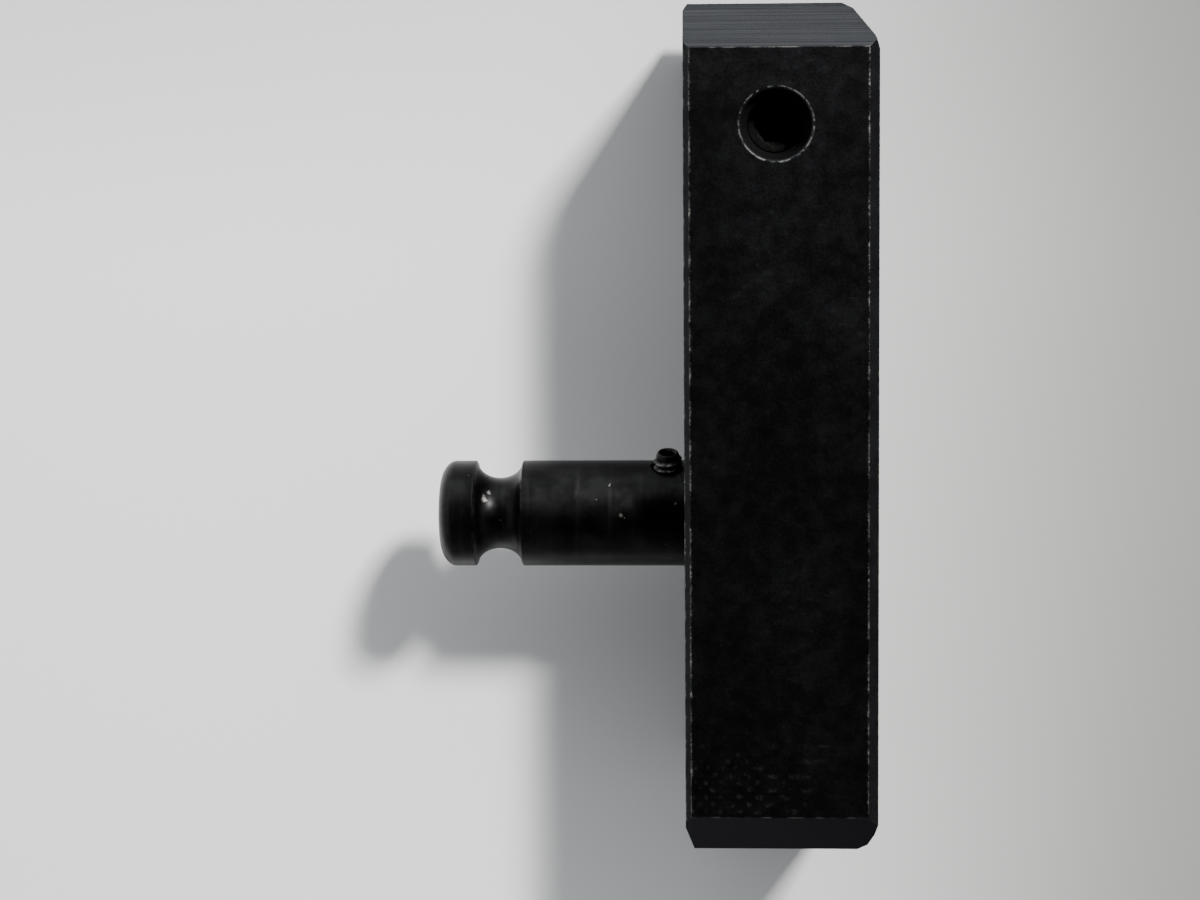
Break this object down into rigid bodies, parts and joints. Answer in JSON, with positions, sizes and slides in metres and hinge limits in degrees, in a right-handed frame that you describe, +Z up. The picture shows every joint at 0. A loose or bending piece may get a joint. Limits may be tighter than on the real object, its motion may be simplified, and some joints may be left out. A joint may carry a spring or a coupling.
{
  "type": "quick change tool block",
  "caption": "Black steel block with a grooved pull stud and anti-turn key for a quick change tool post, and a cross bore clamped by a socket set screw.",
  "frame": {"origin": "on the surface that the block lies on, under the middle of the box round the block and its stud", "axes": "+Z up, out of the face with the tapped hole; +Y along the block towards the tapped hole; -X along the pull stud, out of the face that seats on the tool post"},
  "size_m": [0.0516, 0.0984, 0.0318],
  "materials": {
    "black_oxide_block": "black oxide over milled steel, satin, worn bright at its edges",
    "dark_turned_steel": "black oxide over turned and hardened steel, satin",
    "black_screw": "black oxide alloy steel",
    "spring_steel": "dark spring steel",
    "brass": "turned brass"
  },
  "bodies": {
    "holder": {"tool_block": "black_oxide_block", "pull_stud": "dark_turned_steel", "key_screw": "black_screw", "stud_cap_screw": "black_screw", "lock_washer": "spring_steel", "lock_screw": "black_screw"},
    "pad": {"clamp_pad": "brass"},
    "screw": {"clamp_screw": "black_screw"}
  },
  "joints": [
    {"name": "pad_slide", "type": "slide", "parent": "holder", "child": "pad", "axis": [0, 0, -1], "range_m": [-0.004, 0.0045]},
    {"name": "screw_turn", "type": "hinge", "parent": "pad", "child": "screw", "pos_m": [0.01415, 0.0354, 0.026], "axis": [0, 0, -1], "range_deg": [-1025, 1150]}
  ],
  "couplings": [
    {"joint": "screw_turn", "follows": "pad_slide", "rad_per_m": 4452.6}
  ]
}
